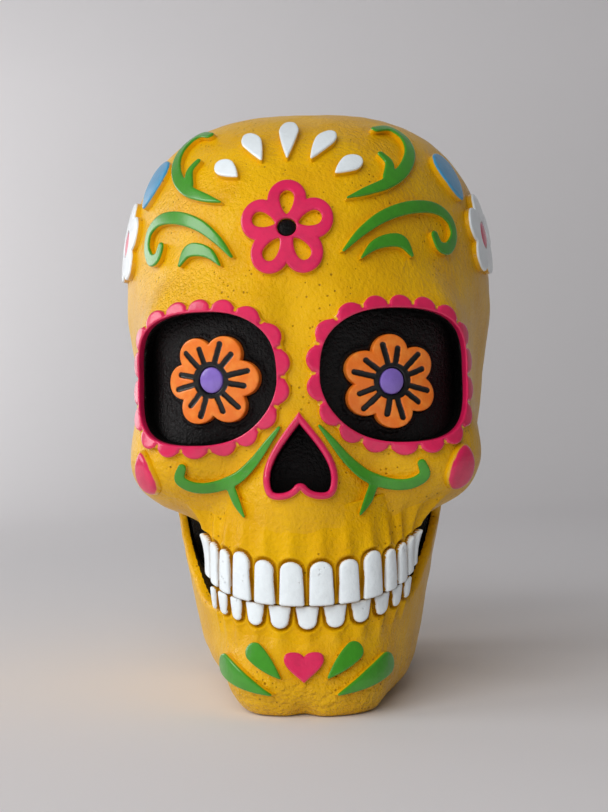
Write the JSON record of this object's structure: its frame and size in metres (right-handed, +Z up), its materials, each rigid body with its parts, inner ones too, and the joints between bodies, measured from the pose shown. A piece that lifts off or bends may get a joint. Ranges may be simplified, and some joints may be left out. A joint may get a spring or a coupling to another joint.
{
  "type": "day of the dead skull ornament",
  "caption": "Hollow yellow skull ornament on a short neck, with painted relief scrolls, flowers, scalloped eye rims and a full grin of white teeth.",
  "frame": {"origin": "middle of the bounding box's underside, at the level that the skull stands on", "axes": "+Z up, +X to the viewer's right, the face looks towards -Y"},
  "size_m": [0.1342, 0.1669, 0.2],
  "materials": {
    "yellow_skull": "satin",
    "black_paint": "gloss",
    "white_teeth": "gloss",
    "pink_paint": "gloss",
    "orange_paint": "gloss",
    "purple_paint": "gloss",
    "white_paint": "gloss",
    "green_paint": "gloss",
    "blue_paint": "gloss"
  },
  "bodies": {
    "root": {"cranium_shell": "yellow_skull", "mandible": "yellow_skull", "mouth_backing": "black_paint", "eye_plate_left": "black_paint", "eye_plate_right": "black_paint", "nasal_plate": "black_paint", "forehead_flower_centre": "black_paint", "upper_teeth": "white_teeth", "lower_teeth": "white_teeth", "eye_scallop_rim_left": "pink_paint", "eye_scallop_rim_right": "pink_paint", "nasal_rim": "pink_paint", "forehead_flower": "pink_paint", "temple_flower_centre_left": "pink_paint", "temple_flower_centre_right": "pink_paint", "cheek_drop_left": "pink_paint", "cheek_drop_right": "pink_paint", "chin_heart": "pink_paint", "eye_flower_left": "orange_paint", "eye_flower_right": "orange_paint", "eye_flower_centre_left": "purple_paint", "eye_flower_centre_right": "purple_paint", "crown_drop_1": "white_paint", "crown_drop_2": "white_paint", "crown_drop_3": "white_paint", "crown_drop_4": "white_paint", "crown_drop_5": "white_paint", "temple_flower_left": "white_paint", "temple_flower_right": "white_paint", "upper_scroll_left": "green_paint", "upper_scroll_right": "green_paint", "side_scroll_left": "green_paint", "side_scroll_right": "green_paint", "brow_leaf_left": "green_paint", "brow_leaf_right": "green_paint", "cheek_scroll_left": "green_paint", "cheek_scroll_right": "green_paint", "chin_leaf_inner_left": "green_paint", "chin_leaf_inner_right": "green_paint", "chin_leaf_outer_left": "green_paint", "chin_leaf_outer_right": "green_paint", "temple_petal_left": "blue_paint", "temple_petal_right": "blue_paint"}
  },
  "joints": []
}
